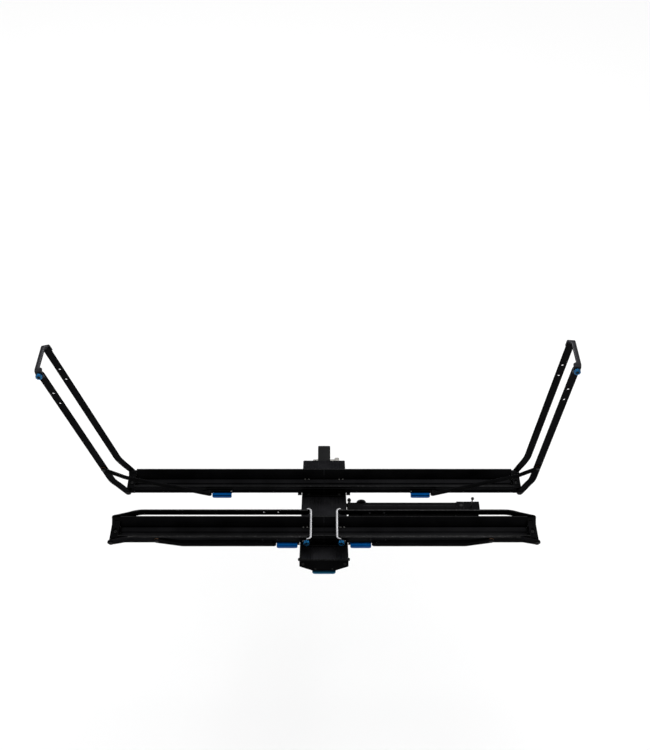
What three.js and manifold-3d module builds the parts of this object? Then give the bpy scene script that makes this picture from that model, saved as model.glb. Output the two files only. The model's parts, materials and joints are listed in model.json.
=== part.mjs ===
// Hitch mounted bike rack with two wheel trays on an inclined spine.
// Units are millimetres. +Y points to the vehicle, +X to the right seen from behind, +Z up.
// The origin is the centre of the tongue's end face, which goes into the vehicle's receiver.
import * as THREE from 'three';
import { mergeVertices } from 'three/addons/utils/BufferGeometryUtils.js';
import Module from 'manifold-3d';

const wasm = await Module();
wasm.setup();

// ---- driving dimensions -------------------------------------------------------------------

const GAP = 0.3; // between pieces that touch

// Tongue and tilt pivot
const TONGUE_SIZE = 50.8;
const TONGUE_WALL = 5;
const TONGUE_END_Y = -117; // rear end of the square tube
const PIVOT_Y = -165;
const PIVOT_BOLT_RADIUS = 8;
const HEAD_RADIUS = 45;
const HEAD_HALF_WIDTH = 21;
const HITCH_PIN_Y = -62;
const HITCH_PIN_RADIUS = 7.8;

// Trays: y is the centre line, z the height of the arm pivots
const INNER_TRAY = { y: -370, z: 262 };
const OUTER_TRAY = { y: -670.5, z: 379.5 };
const TRAY_HALF_WIDTH = 42;
const TRAY_TOP = 22;
const TRAY_BOTTOM = -16;
const TRAY_FLOOR = -10;
const TRAY_HALF_LENGTH = 700;
const CAP_NEAR_X = 720; // the end caps widen a little toward the vehicle
const CAP_FAR_X = 731;
const CAP_TOP = 14;

// Spine, which rises 0.4 mm for each mm to the rear
const SPINE_RISE = 0.4;
const SLOPE = Math.atan(SPINE_RISE);
const SPINE_DROP = 38; // its top face under the arm pivots' height, at the inner tray's centre line
const SPINE_HALF_WIDTH = 82;
const SPINE_FRONT = 207; // along the spine, from the inner tray's centre line
const SPINE_REAR = -464;
const SPINE_SIDE_DEPTH = 27;
const SPINE_DEPTH = 43;
const SPINE_FLOOR_HALF = 39;
const SPINE_WALL = 4;

// Wheel arms: u runs from the pivot along the folded arm, v up, w across
const PIVOT_X = 723;
const ARM_LENGTH = 672.5;
const ARM_RISE = 25;
const ELBOW_U = 80;
const ELBOW_ROUND = 15;
const BAR_HALF_DEPTH = 12.7;
const BAR_THICKNESS = 6;
const BAR_W = 55.5;
const FOOT_W = 51;
const FOOT_RADIUS = 11.5;
const KNOB_U = 664.5;
const STUD_RADIUS = 4;
const ADJUST_HOLE_U = [KNOB_U - 99, KNOB_U - 149];
const ADJUST_HOLE_RADIUS = 5;
const HOOP_INNER_HALF = 59;
const HOOP_OUTER_HALF = 64.7;
const HOOP_INNER_U = 675;
const HOOP_OUTER_U = 682;
const HOOP_LOW = 12; // lower edge of the hoop's legs
const HOOP_CROWN_LOW = 22.6; // lower edge of its crown, clear of the tray's walls
const HOOP_HIGH = 37;
const HOOP_CROWN_HALF = 47;
const AXLE_RADIUS = 5;

// Brace between the arm and the slider on the tray's rear side
const BRACE_PIN = { u: 160, v: 25 };
const BRACE_FOOT_V = 5; // height of its lower pin on the slider
const BRACE_LENGTH = 393;
const BRACE_W = -60.8;
const BRACE_THICKNESS = 5;
const BRACE_HALF_DEPTH = 9;
const WASHER_RADIUS = 9;
const LEVER_START = 10; // lever and slider, along the tray from the brace's lower pin
const LEVER_END = 81;
const SLIDER_START = -14;
const SLIDER_END = 83;

const RAISED_LEFT = THREE.MathUtils.degToRad(104.7);
const RAISED_RIGHT = THREE.MathUtils.degToRad(95.4);

// ---- materials ----------------------------------------------------------------------------

const blackAnodised = new THREE.MeshStandardMaterial({ color: 0x1b1b1d, roughness: 0.45, metalness: 0.8 });
const blackSteel = new THREE.MeshStandardMaterial({ color: 0x141415, roughness: 0.5, metalness: 0.6 });
const blueAnodised = new THREE.MeshStandardMaterial({ color: 0x0f6fb4, roughness: 0.35, metalness: 0.8 });
const zincSteel = new THREE.MeshStandardMaterial({ color: 0x8e8e90, roughness: 0.35, metalness: 1.0 });
const blackPlastic = new THREE.MeshStandardMaterial({ color: 0x101010, roughness: 0.7, metalness: 0.0 });

// ---- solids -------------------------------------------------------------------------------

function toManifold(geometry) {
  const bare = geometry.clone();
  bare.deleteAttribute('normal');
  bare.deleteAttribute('uv');
  const merged = mergeVertices(bare, 1e-4);
  return new wasm.Manifold(new wasm.Mesh({
    numProp: 3,
    vertProperties: merged.attributes.position.array,
    triVerts: new Uint32Array(merged.index.array),
  }));
}

function fromManifold(solid) {
  const mesh = solid.getMesh();
  const geometry = new THREE.BufferGeometry();
  geometry.setAttribute('position', new THREE.BufferAttribute(mesh.vertProperties, 3));
  geometry.setIndex(new THREE.BufferAttribute(mesh.triVerts, 1));
  geometry.computeVertexNormals();
  return geometry;
}

function join(...geometries) {
  return fromManifold(geometries.map(toManifold).reduce((whole, part) => whole.add(part)));
}

function cut(geometry, ...tools) {
  const solids = tools.map(toManifold);
  return fromManifold(solids.reduce((whole, tool) => whole.subtract(tool), toManifold(geometry)));
}

function box(x0, x1, y0, y1, z0, z1) {
  const geometry = new THREE.BoxGeometry(x1 - x0, y1 - y0, z1 - z0);
  return geometry.translate((x0 + x1) / 2, (y0 + y1) / 2, (z0 + z1) / 2);
}

// A round bar along one axis, from one coordinate to the other, through the two given centres
function rod(axis, radius, from, to, centreA, centreB, segments = 20) {
  const geometry = new THREE.CylinderGeometry(radius, radius, to - from, segments);
  const middle = (from + to) / 2;
  if (axis === 'x') return geometry.rotateZ(Math.PI / 2).translate(middle, centreA, centreB);
  if (axis === 'y') return geometry.translate(centreA, middle, centreB);
  return geometry.rotateX(Math.PI / 2).translate(centreA, centreB, middle);
}

function outline(points) {
  return new THREE.Shape(points.map(([a, b]) => new THREE.Vector2(a, b)));
}

function pushed(shape, depth) {
  return new THREE.ExtrudeGeometry(shape, { depth, bevelEnabled: false, curveSegments: 8 });
}

// The shape's two directions are Y and Z, and it is pushed along X
function extrudeAlongX(shape, x0, x1) {
  const geometry = pushed(shape, x1 - x0);
  const turn = new THREE.Matrix4().set(0, 0, 1, x0, 1, 0, 0, 0, 0, 1, 0, 0, 0, 0, 0, 1);
  return geometry.applyMatrix4(turn);
}

// The shape's two directions are X and Z, and it is pushed along Y
function extrudeAlongY(shape, y0, y1) {
  const geometry = pushed(shape, y1 - y0);
  return geometry.rotateX(Math.PI / 2).translate(0, y1, 0);
}

function extrudeAlongZ(shape, z0, z1) {
  const geometry = pushed(shape, z1 - z0);
  return geometry.translate(0, 0, z0);
}

// A closed bar through a row of rectangular sections. Each station holds a centre (u, v, w), the
// section's half depth and the direction of the bar in the u-v plane. With side 1 u runs along +X,
// with side -1 along -X.
function loftBar(stations, thickness, side) {
  const positions = [];
  const corners = [[1, -1], [1, 1], [-1, 1], [-1, -1]];
  for (const station of stations) {
    for (const [across, outward] of corners) {
      const u = station.u - Math.sin(station.angle) * station.half * across;
      const v = station.v + Math.cos(station.angle) * station.half * across;
      positions.push(side * u, station.w + (outward * thickness) / 2, v);
    }
  }
  const index = [];
  const last = (stations.length - 1) * 4;
  const triangle = (a, b, c) => (side < 0 ? index.push(a, b, c) : index.push(a, c, b));
  for (let ring = 0; ring < stations.length - 1; ring += 1) {
    for (let k = 0; k < 4; k += 1) {
      const a = ring * 4 + k;
      const b = ring * 4 + ((k + 1) % 4);
      triangle(a, b, a + 4);
      triangle(b, b + 4, a + 4);
    }
  }
  triangle(0, 2, 1);
  triangle(0, 3, 2);
  triangle(last, last + 1, last + 2);
  triangle(last, last + 2, last + 3);
  const geometry = new THREE.BufferGeometry();
  geometry.setAttribute('position', new THREE.Float32BufferAttribute(positions, 3));
  geometry.setIndex(index);
  geometry.computeVertexNormals();
  return geometry;
}

// A range along u as a range along X
function mirrored(side, from, to) {
  return side > 0 ? [from, to] : [-to, -from];
}

function addMesh(parent, name, geometry, material) {
  const mesh = new THREE.Mesh(geometry, material.clone());
  mesh.name = name;
  parent.add(mesh);
  return mesh;
}

// ---- tongue -------------------------------------------------------------------------------

function buildTongue(rack) {
  const half = TONGUE_SIZE / 2;
  const inner = half - TONGUE_WALL;
  const plugFace = 6;
  const tube = cut(
    box(-half, half, TONGUE_END_Y, -plugFace - GAP, -half, half),
    box(-inner, inner, TONGUE_END_Y - 1, 1, -inner, inner),
    rod('x', HITCH_PIN_RADIUS + GAP, -half - 1, half + 1, HITCH_PIN_Y, 0, 24),
  );
  addMesh(rack, 'hitch_tongue', tube, blackSteel);

  const stub = inner - GAP;
  const plug = join(
    box(-half, half, -plugFace, 0, -half, half),
    box(-stub, stub, -24, -plugFace + 1, -stub, stub),
  );
  addMesh(rack, 'tongue_plug', plug, blackPlastic);

  // The head's round nose carries the tilt pivot, with a detent notch for each stop of the latch
  const head = join(
    rod('x', HEAD_RADIUS, -HEAD_HALF_WIDTH, HEAD_HALF_WIDTH, PIVOT_Y, 0, 48),
    box(-stub, stub, PIVOT_Y + 8, TONGUE_END_Y + 40, -stub, stub),
  );
  const notches = [0, 35, 68.2].map((degrees) => {
    const angle = SLOPE + THREE.MathUtils.degToRad(degrees);
    const notch = new THREE.BoxGeometry(2 * HEAD_HALF_WIDTH + 2, 16, 13);
    notch.rotateX(-angle);
    return notch.translate(0, PIVOT_Y - HEAD_RADIUS * Math.cos(angle), HEAD_RADIUS * Math.sin(angle));
  });
  const bore = rod('x', PIVOT_BOLT_RADIUS + GAP, -HEAD_HALF_WIDTH - 1, HEAD_HALF_WIDTH + 1, PIVOT_Y, 0, 24);
  addMesh(rack, 'tongue_head', cut(head, bore, ...notches), blackSteel);

  const bolt = join(
    rod('x', PIVOT_BOLT_RADIUS, -41, 41, PIVOT_Y, 0, 24),
    rod('x', 13, -43, -34.5, PIVOT_Y, 0, 6),
    rod('x', 13, 34.5, 43, PIVOT_Y, 0, 6),
  );
  addMesh(rack, 'pivot_bolt', bolt, zincSteel);

  const pin = join(
    rod('x', HITCH_PIN_RADIUS, -46, 44, HITCH_PIN_Y, 0, 24),
    rod('x', 14, 43, 62, HITCH_PIN_Y, 0, 24),
  );
  addMesh(rack, 'hitch_pin', pin, zincSteel);
}

// ---- spine --------------------------------------------------------------------------------

// Local axes of the spine: y along it, z square to its top face, origin under the inner tray
function spineGroup() {
  const group = new THREE.Group();
  group.position.set(0, INNER_TRAY.y, INNER_TRAY.z - SPINE_DROP);
  group.rotation.x = -SLOPE;
  return group;
}

function spineOutline(inset) {
  const half = SPINE_HALF_WIDTH - inset;
  const floor = SPINE_FLOOR_HALF - inset * 0.4;
  const edge = 3;
  return outline([
    [-half + edge, -inset], [-half, -inset - edge], [-half, -SPINE_SIDE_DEPTH + inset * 0.2],
    [-floor, -SPINE_DEPTH + inset], [floor, -SPINE_DEPTH + inset],
    [half, -SPINE_SIDE_DEPTH + inset * 0.2], [half, -inset - edge], [half - edge, -inset],
  ]);
}

const HANDLE_PIN = { y: SPINE_REAR + 12, z: -9.6, radius: 3 };

function buildSpine(rack) {
  const group = spineGroup();
  rack.add(group);
  const notchHalf = 41;
  const notchTop = -SPINE_DEPTH + SPINE_WALL + 1;
  const pinHalf = SPINE_HALF_WIDTH + 5;
  const spine = cut(
    extrudeAlongY(spineOutline(0), SPINE_REAR, SPINE_FRONT),
    extrudeAlongY(spineOutline(SPINE_WALL), SPINE_REAR - 1, SPINE_FRONT + 1),
    box(-notchHalf, notchHalf, SPINE_REAR - 1, SPINE_REAR + 56, -SPINE_DEPTH - 1, notchTop),
    rod('x', HANDLE_PIN.radius + GAP, -pinHalf, pinHalf, HANDLE_PIN.y, HANDLE_PIN.z),
  );
  addMesh(group, 'spine', spine, blackAnodised);

  const plate = extrudeAlongY(spineOutline(0), SPINE_REAR - GAP - 4, SPINE_REAR - GAP);
  addMesh(group, 'end_plate', plate, blackAnodised);

  const pin = rod('x', HANDLE_PIN.radius, -pinHalf, pinHalf, HANDLE_PIN.y, HANDLE_PIN.z);
  addMesh(group, 'handle_pin', pin, zincSteel);

  // Squeeze handle: a barrel on the pin, a web through the spine's floor and a paddle below
  const lip = SPINE_REAR - 12;
  const paddleHalf = 39.5;
  const corner = 9;
  const paddle = extrudeAlongZ(outline([
    [-paddleHalf, SPINE_REAR + 24], [-paddleHalf, lip + corner], [-paddleHalf + 3, lip + 3],
    [-paddleHalf + corner, lip], [paddleHalf - corner, lip], [paddleHalf - 3, lip + 3],
    [paddleHalf, lip + corner], [paddleHalf, SPINE_REAR + 24],
  ]), -SPINE_DEPTH - 8, -SPINE_DEPTH - 3);
  const barrel = rod('x', 5.2, -30, 30, HANDLE_PIN.y, HANDLE_PIN.z, 20);
  const web = box(-30, 30, HANDLE_PIN.y - 4, HANDLE_PIN.y + 4, -SPINE_DEPTH - 4, HANDLE_PIN.z);
  const handleBore = rod('x', HANDLE_PIN.radius + GAP, -31, 31, HANDLE_PIN.y, HANDLE_PIN.z, 20);
  addMesh(group, 'tilt_handle', cut(join(paddle, barrel, web), handleBore), blueAnodised);

  // Spring plunger on a lug on the right side of the spine, low enough for the levers to pass
  const plungerX = SPINE_HALF_WIDTH + 11;
  const plungerZ = -18;
  const plunger = join(
    rod('y', 3.5, -122, -52, plungerX, plungerZ, 16),
    rod('y', 9, -119, -105, plungerX, plungerZ, 20),
    rod('y', 6, -87, -79, plungerX, plungerZ, 16),
    rod('y', 6.5, -66, -56, plungerX, plungerZ, 16),
    box(SPINE_HALF_WIDTH + GAP, plungerX, -100, -92, -24, -12),
  );
  addMesh(group, 'side_plunger', plunger, blackSteel);
}

// Two side plates hang from the spine's front end to the tilt pivot, with a bridge and the latch's guide
function buildYoke(rack) {
  const pivot = spineGroup();
  rack.add(pivot);
  pivot.updateMatrixWorld(true);
  const centre = pivot.worldToLocal(new THREE.Vector3(0, PIVOT_Y, 0));
  const top = -SPINE_DEPTH - GAP;
  const inside = 26;
  const outside = 34;
  const side = new THREE.Shape();
  side.moveTo(SPINE_FRONT - 4, top);
  side.lineTo(SPINE_FRONT - 150, top);
  side.lineTo(centre.y - 60, centre.z - 6);
  side.lineTo(centre.y - 22, centre.z - 22);
  side.absarc(centre.y, centre.z, 24, THREE.MathUtils.degToRad(-135), THREE.MathUtils.degToRad(20), false);
  side.lineTo(SPINE_FRONT - 4, top);
  const bridge = box(-inside - 1, inside + 1, SPINE_FRONT - 146, SPINE_FRONT - 10, top - 8, top);
  const guideY = centre.y - 88;
  const guide = box(-inside - 1, inside + 1, guideY - 12, guideY + 12, centre.z - 14, centre.z + 14);
  const yoke = cut(
    join(
      extrudeAlongX(side, -outside, -inside),
      extrudeAlongX(side, inside, outside),
      bridge,
      guide,
    ),
    rod('x', PIVOT_BOLT_RADIUS + GAP, -outside - 1, outside + 1, centre.y, centre.z, 24),
    box(-8, 8, guideY - 13, guideY + 13, centre.z - 6, centre.z + 6),
  );
  addMesh(pivot, 'pivot_yoke', yoke, blackSteel);

  const boltTip = centre.y - HEAD_RADIUS - 0.6;
  const bolt = join(
    box(-7.5, 7.5, boltTip - 62, boltTip, centre.z - 5.5, centre.z + 5.5),
    box(-11, 11, boltTip - 70, boltTip - 61, centre.z - 8, centre.z + 8),
  );
  addMesh(pivot, 'latch_bolt', bolt, zincSteel);
}

// ---- trays --------------------------------------------------------------------------------

function trayOutline(tray) {
  const w = TRAY_HALF_WIDTH;
  const points = [
    [-w, TRAY_BOTTOM], [w, TRAY_BOTTOM], [w, 14], [w - 1.5, 16], [w - 1.5, 18], [w, 19], [w, TRAY_TOP],
    [w - 5, TRAY_TOP], [w - 5, 18], [w - 4, 16], [w - 4, TRAY_FLOOR],
    [16, TRAY_FLOOR], [14, TRAY_FLOOR - 3], [-14, TRAY_FLOOR - 3], [-16, TRAY_FLOOR],
    [-w + 6, TRAY_FLOOR], [-w + 6, TRAY_TOP],
    [-w, TRAY_TOP], [-w, 15], [-w + 2, 14], [-w + 2, 11], [-w, 10],
    [-w, 1], [-w + 3.5, 1], [-w + 3.5, -7], [-w, -7],
  ];
  return outline(points.map(([y, z]) => [tray.y + y, tray.z + z]));
}

function buildTray(rack, name, tray) {
  const seam = GAP / 2;
  const left = extrudeAlongX(trayOutline(tray), -TRAY_HALF_LENGTH, -seam);
  const right = extrudeAlongX(trayOutline(tray), seam, TRAY_HALF_LENGTH);
  addMesh(rack, `${name}_tray_left`, left, blackAnodised);
  addMesh(rack, `${name}_tray_right`, right, blackAnodised);

  for (const [word, side] of [['left', -1], ['right', 1]]) {
    const inner = TRAY_HALF_LENGTH + GAP;
    const near = tray.y - TRAY_HALF_WIDTH;
    const far = tray.y + TRAY_HALF_WIDTH;
    const block = extrudeAlongZ(outline([
      [side * inner, near], [side * (CAP_NEAR_X - 3), near], [side * CAP_NEAR_X, near + 3],
      [side * CAP_FAR_X, far - 3], [side * (CAP_FAR_X - 3), far], [side * inner, far],
    ]), tray.z + TRAY_BOTTOM, tray.z + CAP_TOP);
    const lugEnd = FOOT_W - BAR_THICKNESS / 2 - GAP;
    const lugs = rod('y', 7.5, tray.y - lugEnd, tray.y + lugEnd, side * PIVOT_X, tray.z, 24);
    const bore = rod('y', AXLE_RADIUS + GAP, tray.y - 60, tray.y + 60, side * PIVOT_X, tray.z, 20);
    addMesh(rack, `${name}_end_cap_${word}`, cut(join(block, lugs), bore), blackAnodised);
  }

  // Saddle: a wedge that holds the tray level on the inclined spine, with a bolting foot behind the tray
  const drop = tray.z - INNER_TRAY.z + SPINE_DROP - SPINE_RISE * (INNER_TRAY.y - tray.y);
  const seat = (y) => GAP - drop - SPINE_RISE * y;
  const top = TRAY_BOTTOM - GAP;
  const w = TRAY_HALF_WIDTH;
  const wedge = extrudeAlongX(outline([
    [w, top], [-w, top], [-w - 0.4, seat(-w) + 6], [-w - 20, seat(-w - 20) + 6],
    [-w - 20, seat(-w - 20)], [w, seat(w)],
  ].map(([y, z]) => [tray.y + y, tray.z + z])), -78, 78);
  const wings = box(-97, 97, tray.y - w + 12, tray.y + w, tray.z + top - 6, tray.z + top);
  const ears = [-1, 1].map((side) => {
    const across = mirrored(side, SPINE_HALF_WIDTH + 1, 97);
    return box(...across, tray.y - w - 2, tray.y + w, tray.z + top - 12, tray.z + top);
  });
  addMesh(rack, `${name}_saddle`, join(wedge, wings, ...ears), blackAnodised);
}

// ---- wheel arms ---------------------------------------------------------------------------

// Rise of the arm above the line of its pivot: a straight ramp that rounds into the level part
function armRise(u) {
  const ramp = ARM_RISE / ELBOW_U;
  const start = ELBOW_U - ELBOW_ROUND;
  if (u < start) return u * ramp;
  if (u > ELBOW_U + ELBOW_ROUND) return ARM_RISE;
  const t = (u - start) / (2 * ELBOW_ROUND);
  return start * ramp + ramp * 2 * ELBOW_ROUND * (t - (t * t) / 2);
}

function armStations(sideOfArm) {
  const stations = [];
  const endSteps = 5;
  const along = [];
  for (let k = 0; k <= endSteps; k += 1) {
    const turn = ((k + 0.15) / (endSteps + 0.15)) * (Math.PI / 2);
    along.push([-FOOT_RADIUS * Math.cos(turn), FOOT_RADIUS * Math.sin(turn)]);
  }
  for (const u of [38, 52, 65, 72, 80, 88, 95, 106]) along.push([u, BAR_HALF_DEPTH]);
  for (let k = endSteps; k >= 0; k -= 1) {
    const turn = ((k + 0.15) / (endSteps + 0.15)) * (Math.PI / 2);
    along.push([ARM_LENGTH - BAR_HALF_DEPTH * (1 - Math.cos(turn)), BAR_HALF_DEPTH * Math.sin(turn)]);
  }
  for (const [u, half] of along) {
    const ahead = armRise(u + 1) - armRise(u - 1);
    const jog = THREE.MathUtils.smoothstep(u, 38, 106);
    const w = sideOfArm * (FOOT_W + (BAR_W - FOOT_W) * jog);
    stations.push({ u, v: armRise(u), w, half, angle: Math.atan2(ahead, 2) });
  }
  return stations;
}

// Angle of the pin end of the brace about the arm's pivot, and where the slider then sits
function sliderPosition(raise) {
  const radius = Math.hypot(BRACE_PIN.u, BRACE_PIN.v);
  const angle = raise + Math.atan2(BRACE_PIN.v, BRACE_PIN.u);
  const height = radius * Math.sin(angle) - BRACE_FOOT_V;
  return radius * Math.cos(angle) + Math.sqrt(BRACE_LENGTH ** 2 - height ** 2);
}

function braceAngle(raise) {
  const radius = Math.hypot(BRACE_PIN.u, BRACE_PIN.v);
  const angle = raise + Math.atan2(BRACE_PIN.v, BRACE_PIN.u);
  return Math.asin((radius * Math.sin(angle) - BRACE_FOOT_V) / BRACE_LENGTH);
}

function buildArm(rack, name, tray, side, raise) {
  // side is 1 for the left arm, whose folded length runs along +X, and -1 for the right arm
  const pivot = new THREE.Group();
  pivot.position.set(-side * PIVOT_X, tray.y, tray.z);
  rack.add(pivot);
  const arm = new THREE.Group();
  arm.rotation.y = -side * raise;
  pivot.add(arm);

  const axleHole = rod('y', AXLE_RADIUS + GAP, -70, 70, 0, 0, 20);
  const knobHole = rod('y', STUD_RADIUS + GAP, -70, 70, side * KNOB_U, ARM_RISE, 16);
  const adjustHoles = ADJUST_HOLE_U.map(
    (u) => rod('y', ADJUST_HOLE_RADIUS, -70, 70, side * u, ARM_RISE, 16),
  );
  for (const [word, across] of [['near', -1], ['far', 1]]) {
    const bar = loftBar(armStations(across), BAR_THICKNESS, side);
    addMesh(arm, `${name}_bar_${word}`, cut(bar, axleHole, knobHole, ...adjustHoles), blackAnodised);
  }

  // Hoop: a flat bar bent into a U over the two bars' ends
  const hoopShape = new THREE.Shape();
  const corner = 14;
  const start = KNOB_U - 14;
  hoopShape.moveTo(start, -HOOP_OUTER_HALF);
  hoopShape.lineTo(HOOP_OUTER_U - corner, -HOOP_OUTER_HALF);
  hoopShape.absarc(HOOP_OUTER_U - corner, -HOOP_OUTER_HALF + corner, corner, -Math.PI / 2, 0, false);
  hoopShape.lineTo(HOOP_OUTER_U, HOOP_OUTER_HALF - corner);
  hoopShape.absarc(HOOP_OUTER_U - corner, HOOP_OUTER_HALF - corner, corner, 0, Math.PI / 2, false);
  hoopShape.lineTo(start, HOOP_OUTER_HALF);
  hoopShape.lineTo(start, HOOP_INNER_HALF);
  const inside = 3;
  hoopShape.lineTo(HOOP_INNER_U - inside, HOOP_INNER_HALF);
  hoopShape.absarc(HOOP_INNER_U - inside, HOOP_INNER_HALF - inside, inside, Math.PI / 2, 0, true);
  hoopShape.lineTo(HOOP_INNER_U, -HOOP_INNER_HALF + inside);
  hoopShape.absarc(HOOP_INNER_U - inside, -HOOP_INNER_HALF + inside, inside, 0, -Math.PI / 2, true);
  hoopShape.lineTo(start, -HOOP_INNER_HALF);
  const hoop = extrudeAlongZ(hoopShape, HOOP_LOW, HOOP_HIGH);
  if (side < 0) hoop.rotateZ(Math.PI);
  const underCrown = box(...mirrored(side, HOOP_INNER_U - 20, HOOP_OUTER_U + 1),
    -HOOP_CROWN_HALF, HOOP_CROWN_HALF, HOOP_LOW - 1, HOOP_CROWN_LOW);
  const backCorners = [-1, 1].map((across) => {
    const tool = new THREE.BoxGeometry(60, 20, 30).rotateY(side * 0.55);
    return tool.translate(side * (start - 12), across * HOOP_OUTER_HALF, HOOP_HIGH + 6);
  });
  addMesh(arm, `${name}_hoop`, cut(hoop, knobHole, underCrown, ...backCorners), blackAnodised);

  // Clamping knob with eight lobes on a stud through the hoop and the near bar
  const lobes = new THREE.Shape();
  const steps = 48;
  for (let k = 0; k < steps; k += 1) {
    const turn = (k / steps) * Math.PI * 2;
    const radius = 10.6 + 0.9 * Math.cos(8 * turn);
    const x = side * KNOB_U + radius * Math.cos(turn);
    const z = ARM_RISE + radius * Math.sin(turn);
    if (k === 0) lobes.moveTo(x, z);
    else lobes.lineTo(x, z);
  }
  const knobFace = -HOOP_OUTER_HALF - GAP;
  const knob = join(
    extrudeAlongY(lobes, knobFace - 12, knobFace - 2),
    rod('y', 7, knobFace - 3, knobFace, side * KNOB_U, ARM_RISE, 20),
    rod('y', STUD_RADIUS, knobFace - 1, -BAR_W + 6, side * KNOB_U, ARM_RISE, 16),
  );
  addMesh(arm, `${name}_knob`, knob, blueAnodised);

  const footFace = FOOT_W + BAR_THICKNESS / 2 + GAP;
  const axle = join(
    rod('y', AXLE_RADIUS, -footFace - 2, footFace + 2, 0, 0, 20),
    rod('y', 8, -footFace - 3.5, -footFace, 0, 0, 20),
    rod('y', 8, footFace, footFace + 3.5, 0, 0, 20),
  );
  addMesh(arm, `${name}_axle`, axle, blackSteel);

  // Slider in the slot of the tray's rear wall, with the brace's lower pin
  const slide = new THREE.Group();
  slide.position.set(side * sliderPosition(raise), 0, BRACE_FOOT_V);
  pivot.add(slide);
  const wall = -TRAY_HALF_WIDTH - 0.4;
  const low = BRACE_FOOT_V;
  const slider = join(
    box(...mirrored(side, SLIDER_START, SLIDER_END), wall - 6.8, wall, -low - 9, 9 - low),
    box(...mirrored(side, SLIDER_START + 2, SLIDER_END - 2), wall - 1, wall + 3.4, -low - 6.6, 0.6 - low),
    rod('y', 6.5, BRACE_W + 0.4, wall - 6, 0, 0, 20),
    rod('y', 4, BRACE_W - BRACE_THICKNESS - 1.6, wall - 6, 0, 0, 16),
  );
  addMesh(slide, `${name}_slider`, slider, blackAnodised);

  // Brace: a flat bar that stays low and cranks up to the pin on the arm
  const brace = new THREE.Group();
  brace.rotation.y = side * (braceAngle(raise) - braceAngle(0));
  slide.add(brace);
  const reach = sliderPosition(0) - BRACE_PIN.u;
  const climb = BRACE_PIN.v - BRACE_FOOT_V;
  const braceCentre = BRACE_W - BRACE_THICKNESS / 2;
  const braceStations = [];
  const endSteps = 4;
  for (let k = 0; k <= endSteps; k += 1) {
    const turn = ((k + 0.2) / (endSteps + 0.2)) * (Math.PI / 2);
    const half = BRACE_HALF_DEPTH * Math.sin(turn);
    braceStations.push({ u: -BRACE_HALF_DEPTH * Math.cos(turn), v: 0, w: braceCentre, half, angle: 0 });
  }
  const crank = Math.atan2(climb, 75);
  braceStations.push({ u: reach - 82, v: 0, w: braceCentre, half: BRACE_HALF_DEPTH, angle: 0 });
  braceStations.push({ u: reach - 74, v: 1.2, w: braceCentre, half: BRACE_HALF_DEPTH, angle: crank / 2 });
  for (let k = endSteps; k >= 0; k -= 1) {
    const turn = ((k + 0.2) / (endSteps + 0.2)) * (Math.PI / 2);
    const ahead = BRACE_HALF_DEPTH * Math.cos(turn);
    braceStations.push({
      u: reach + ahead * Math.cos(crank),
      v: climb + ahead * Math.sin(crank),
      w: braceCentre,
      half: BRACE_HALF_DEPTH * Math.sin(turn),
      angle: crank,
    });
  }
  const strip = loftBar(braceStations, BRACE_THICKNESS, -side);
  const lowerHole = rod('y', 4 + GAP, -70, -50, 0, 0, 16);
  const pinFace = BRACE_W - BRACE_THICKNESS;
  const pinHead = rod('y', 6.5, pinFace - 3, pinFace + 1, -side * reach, climb, 20);
  const barFace = -BAR_W - BAR_THICKNESS / 2;
  const washer = rod('y', WASHER_RADIUS, BRACE_W - 1, barFace - GAP, -side * reach, climb, 24);
  addMesh(brace, `${name}_brace`, join(cut(strip, lowerHole), pinHead, washer), blackAnodised);

  // Release lever: a paddle hinged along the slider's lower edge
  const hinge = wall - 7.2;
  const leverSection = outline([
    [hinge, -2], [hinge, -8.5], [hinge - 4, -9.5], [hinge - 7, -12], [hinge - 8, -20],
    [hinge - 13, -20], [hinge - 13.6, -9], [hinge - 10, -4.5], [hinge - 4, -2],
  ].map(([w, v]) => [w, v - low]));
  const lever = extrudeAlongX(leverSection, ...mirrored(side, LEVER_START, LEVER_END));
  addMesh(slide, `${name}_lever`, lever, blueAnodised);
}

// ---- lock bar -----------------------------------------------------------------------------

// Swing-up lock bar, stowed level along the front side of the outer tray
function buildLockBar(rack) {
  const pivotX = 130;
  const rearY = OUTER_TRAY.y + 70;
  const frontY = OUTER_TRAY.y + 98;
  const middleY = (rearY + frontY) / 2;
  const level = OUTER_TRAY.z;
  const pivotZ = level + 6;
  const barEnd = 460;
  const bar = cut(
    box(86, barEnd, rearY, frontY, level - 40, level + 24),
    rod('y', 5 + GAP, rearY - 1, frontY + 1, pivotX, pivotZ, 20),
  );
  addMesh(rack, 'lock_bar', bar, blackAnodised);
  const screwX = 511.5;
  const stemRadius = 2.2;
  const block = cut(
    box(barEnd + GAP, 540, rearY - 1, frontY + 3, level - 42, level + 25),
    rod('z', stemRadius + GAP, level + 4, level + 26, screwX, middleY, 16),
  );
  addMesh(rack, 'lock_block', block, blackPlastic);
  const screw = join(
    rod('z', stemRadius, level + 5, level + 62, screwX, middleY, 16),
    rod('z', 5, level + 61, level + 67, screwX, middleY, 20),
  );
  addMesh(rack, 'lock_screw', screw, zincSteel);
  const trayFace = OUTER_TRAY.y + TRAY_HALF_WIDTH + GAP;
  const pivot = join(
    rod('y', 5, trayFace, frontY + 4, pivotX, pivotZ, 20),
    rod('y', 9, trayFace, trayFace + 5, pivotX, pivotZ - 4, 20),
    rod('y', 17, frontY + GAP, frontY + 8, pivotX, pivotZ + 9, 28),
  );
  addMesh(rack, 'lock_pivot', pivot, blackSteel);
}

// ---- assembly -----------------------------------------------------------------------------

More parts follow.
